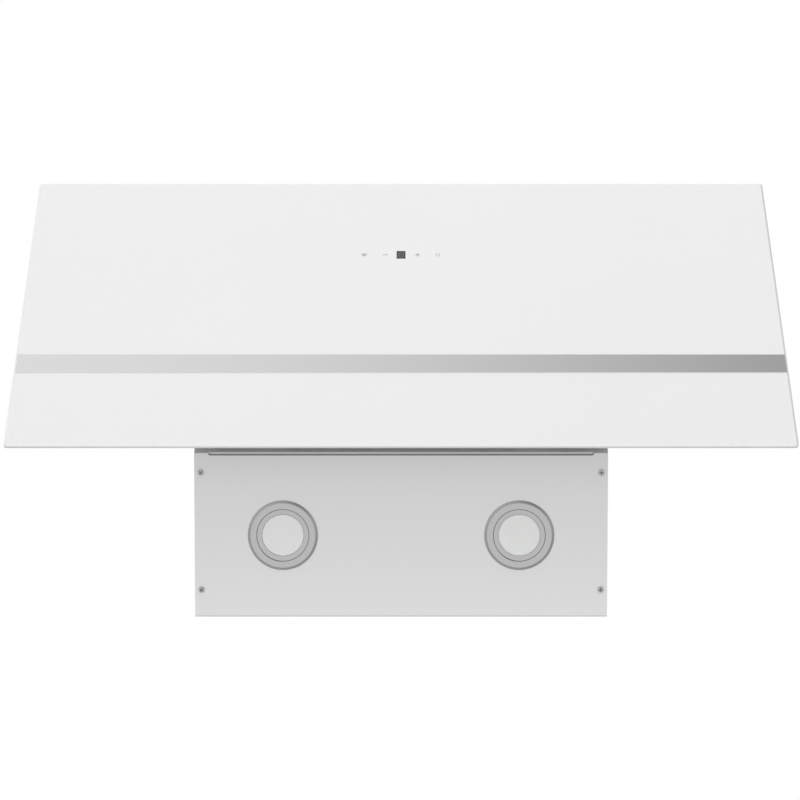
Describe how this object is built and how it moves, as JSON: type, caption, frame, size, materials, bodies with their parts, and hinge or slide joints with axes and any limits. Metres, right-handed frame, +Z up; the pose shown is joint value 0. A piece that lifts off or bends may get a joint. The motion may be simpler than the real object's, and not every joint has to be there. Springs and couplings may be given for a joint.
{
  "type": "wall mount range hood",
  "caption": "Inclined wall hood: leaning white glass front that hinges open over grease filters, steel underside with round lamps, blower, and a telescopic chimney.",
  "frame": {"origin": "centre of the four wall screws, on the wall plane", "axes": "+X right as seen from the room, +Y into the wall, +Z up"},
  "size_m": [0.896, 0.4869, 0.764],
  "materials": {
    "white_glass": "gloss, white behind",
    "strip_steel": "fine brushed",
    "display_black": "gloss",
    "casing_steel": "satin",
    "plate_steel": "satin",
    "galvanised": "dull",
    "screw_steel": "plain",
    "lamp_metal": "satin",
    "lamp_lens": "frosted",
    "heat_sink": "plain",
    "filter_aluminium": "plain",
    "latch_plastic": "matt",
    "blower_plastic": "matt",
    "motor_metal": "plain",
    "rubber": "matt",
    "electric_plastic": "matt",
    "collar_plastic": "matt",
    "backing_paint": "matt",
    "tape": "matt",
    "magnet_case": "matt"
  },
  "bodies": {
    "casing": {"back_panel": "galvanised", "blower_shell_left": "blower_plastic", "blower_shell_right": "blower_plastic", "bottom_plate": "plate_steel", "bottom_plate_screws": "screw_steel", "cable_gland": "blower_plastic", "capacitor": "heat_sink", "chimney_clips": "galvanised", "collar_screws": "screw_steel", "control_box": "electric_plastic", "control_box_lid": "electric_plastic", "duct_collar": "collar_plastic", "filter_frame_left": "filter_aluminium", "filter_frame_right": "filter_aluminium", "filter_mesh_left": "filter_aluminium", "filter_mesh_right": "filter_aluminium", "frame_screws": "screw_steel", "front_frame": "casing_steel", "hinge_fixed_leaves": "galvanised", "lamp_bezel_left": "lamp_metal", "lamp_bezel_right": "lamp_metal", "lamp_lens_left": "lamp_lens", "lamp_lens_right": "lamp_lens", "lamp_module_left": "heat_sink", "lamp_module_right": "heat_sink", "lamp_ring_left": "lamp_metal", "lamp_ring_right": "lamp_metal", "lamp_spring_clips": "screw_steel", "latch_cup_left": "latch_plastic", "latch_cup_right": "latch_plastic", "left_side_panel": "casing_steel", "lower_chimney": "casing_steel", "magnet_catches": "magnet_case", "motor": "motor_metal", "motor_bracket": "galvanised", "motor_grommets": "rubber", "panel_bumpers": "rubber", "right_side_panel": "casing_steel", "top_panel": "galvanised"},
    "front_panel": {"glass_panel": "white_glass", "display_window": "display_black", "steel_strip": "strip_steel", "panel_backing": "backing_paint", "bonding_tapes": "tape", "touch_board": "display_black", "touch_housing": "latch_plastic", "hinge_moving_leaves": "galvanised", "hinge_pins": "screw_steel", "strike_plates": "galvanised"},
    "fan": {"impeller": "blower_plastic", "motor_shaft": "screw_steel"},
    "flap_rear": {"damper_flap_rear": "collar_plastic"},
    "flap_front": {"damper_flap_front": "collar_plastic"},
    "chimney_top": {"upper_chimney": "casing_steel", "chimney_bracket": "galvanised", "chimney_bracket_screws": "screw_steel"},
    "latch_left": {"filter_latch_left": "latch_plastic"},
    "latch_right": {"filter_latch_right": "latch_plastic"}
  },
  "joints": [
    {"name": "panel_hinge", "type": "hinge", "parent": "casing", "child": "front_panel", "pos_m": [0, -0.4412, 0.11655], "axis": [-1, 0, 0], "range_deg": [0, 70]},
    {"name": "fan_spin", "type": "hinge", "parent": "casing", "child": "fan", "pos_m": [0, -0.108, -0.045], "axis": [1, 0, 0], "continuous": true},
    {"name": "flap_rear_hinge", "type": "hinge", "parent": "casing", "child": "flap_rear", "pos_m": [0, -0.146, 0.1352], "axis": [1, 0, 0], "range_deg": [0, 80]},
    {"name": "flap_front_hinge", "type": "hinge", "parent": "casing", "child": "flap_front", "pos_m": [0, -0.154, 0.1352], "axis": [-1, 0, 0], "range_deg": [0, 80]},
    {"name": "chimney_slide", "type": "slide", "parent": "casing", "child": "chimney_top", "axis": [0, 0, 1], "range_m": [0, 0.3]},
    {"name": "latch_left_slide", "type": "slide", "parent": "casing", "child": "latch_left", "axis": [0, 0.6428, -0.766], "range_m": [0, 0.005], "stiffness_N_per_m": 300, "springref_m": -0.004},
    {"name": "latch_right_slide", "type": "slide", "parent": "casing", "child": "latch_right", "axis": [0, 0.6428, -0.766], "range_m": [0, 0.005], "stiffness_N_per_m": 300, "springref_m": -0.004}
  ]
}
